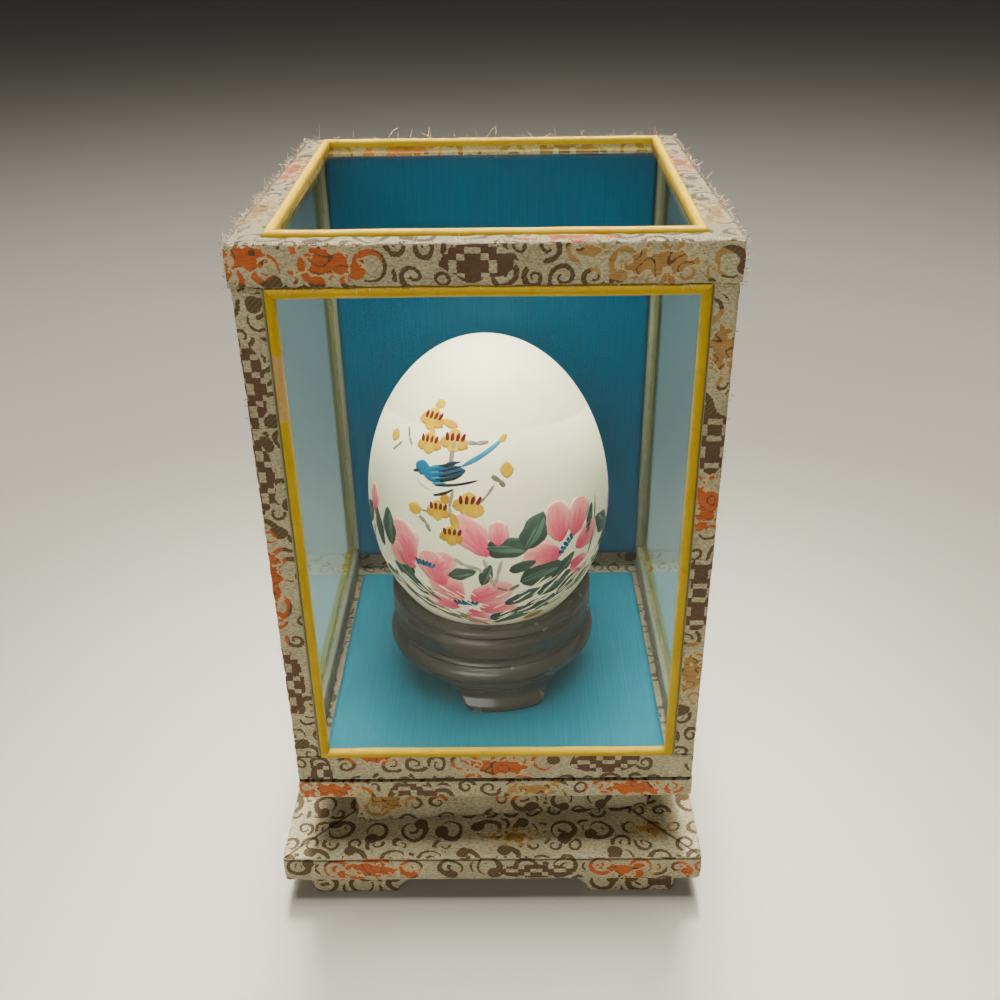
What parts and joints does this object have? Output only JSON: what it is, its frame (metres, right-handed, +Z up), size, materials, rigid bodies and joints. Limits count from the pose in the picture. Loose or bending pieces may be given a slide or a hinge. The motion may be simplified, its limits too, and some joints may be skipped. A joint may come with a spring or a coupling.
{
  "type": "painted egg in display case",
  "caption": "Hand-painted egg in a turned wooden cup, inside a lift-off glass case with brocade-covered posts, on a silk-lined floor, stepped base and bracket feet.",
  "frame": {"origin": "middle of the base board's outline, on the surface that the feet stand on", "axes": "+Z up, +X to the right along the front, and the front glass faces -Y"},
  "size_m": [0.077, 0.0802, 0.1243],
  "materials": {
    "eggshell": "matte, painted",
    "seal_paper": "matte",
    "lacquer": "gloss dark lacquer",
    "blue_silk": "silk, slight sheen",
    "brocade": "satin brocade",
    "brocade_board": "satin brocade over board",
    "lining_paper": "matte",
    "pane_glass": "clear",
    "yellow_bead": "satin",
    "back_card": "matte"
  },
  "bodies": {
    "base": {"stand_cup": "lacquer", "stand_foot_front": "lacquer", "stand_foot_left": "lacquer", "stand_foot_right": "lacquer", "silk_pad": "blue_silk", "floor_board": "brocade_board", "neck_block": "brocade_board", "base_board": "brocade_board", "base_lining": "lining_paper", "bracket_foot_front_left": "brocade_board", "bracket_foot_front_right": "brocade_board", "bracket_foot_back_left": "brocade_board", "bracket_foot_back_right": "brocade_board"},
    "cover": {"bottom_rail_front": "brocade", "bottom_rail_right": "brocade", "bottom_rail_back": "brocade", "bottom_rail_left": "brocade", "corner_post_front_left": "brocade", "corner_post_front_right": "brocade", "corner_post_back_right": "brocade", "corner_post_back_left": "brocade", "lid_rail_front": "brocade", "lid_rail_right": "brocade", "lid_rail_back": "brocade", "lid_rail_left": "brocade", "pane_front": "pane_glass", "pane_right": "pane_glass", "pane_left": "pane_glass", "pane_top": "pane_glass", "bead_front": "yellow_bead", "bead_right": "yellow_bead", "bead_left": "yellow_bead", "bead_top": "yellow_bead", "back_board": "back_card", "back_lining": "blue_silk", "back_cover": "brocade"},
    "egg": {"egg_shell": "eggshell", "egg_hole_seal": "seal_paper"}
  },
  "joints": [
    {"name": "cover_lift", "type": "slide", "parent": "base", "child": "cover", "axis": [0, 0, 1], "range_m": [0, 0.11]},
    {"name": "egg_lift", "type": "slide", "parent": "base", "child": "egg", "axis": [0, 0, 1], "range_m": [0, 0.02]}
  ]
}
